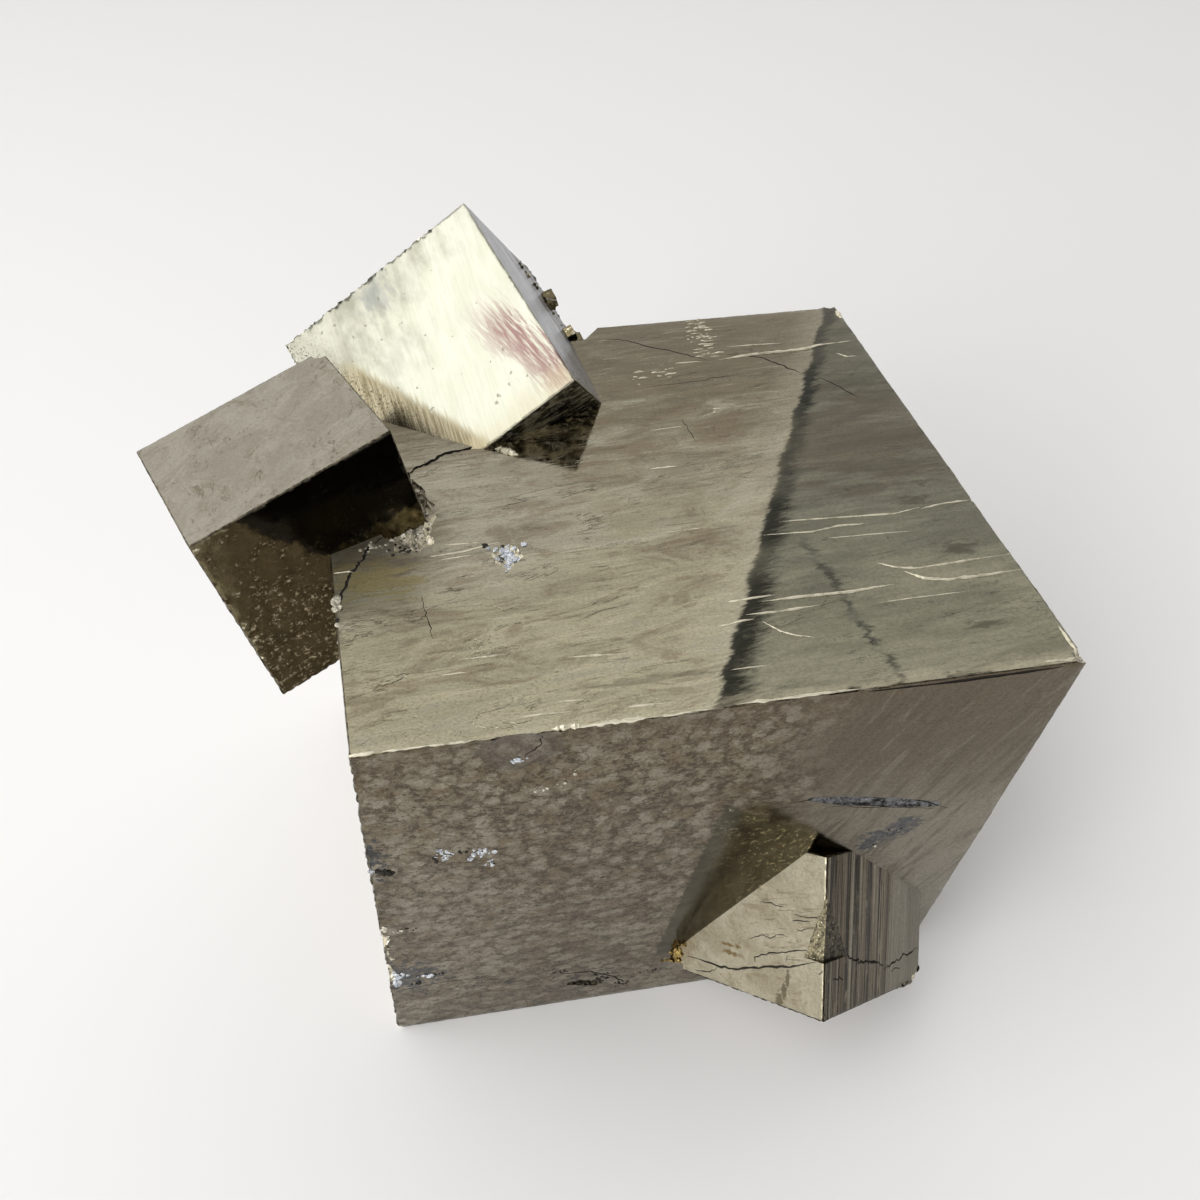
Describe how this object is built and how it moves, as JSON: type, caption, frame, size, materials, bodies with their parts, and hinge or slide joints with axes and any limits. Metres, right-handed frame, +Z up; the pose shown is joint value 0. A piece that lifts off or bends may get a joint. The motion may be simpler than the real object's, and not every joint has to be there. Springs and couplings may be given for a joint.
{
  "type": "pyrite specimen",
  "caption": "Natural pyrite cluster: a large block-shaped metallic crystal with smaller block crystals grown into its faces, resting on its flat base as a display mineral.",
  "frame": {"origin": "middle of the large crystal's flat bottom face, which the specimen rests on", "axes": "+Z up, square to the bottom face; +X along the large crystal's front edge to the right; +Y from its front to its back"},
  "size_m": [0.0781, 0.0765, 0.0693],
  "materials": {
    "pyrite": "natural metallic crystal faces, satin with fine growth lines, dull brownish grey with pale brassy glints, dark in the cracks"
  },
  "bodies": {
    "root": {"pyrite_cluster": "pyrite"}
  },
  "joints": []
}
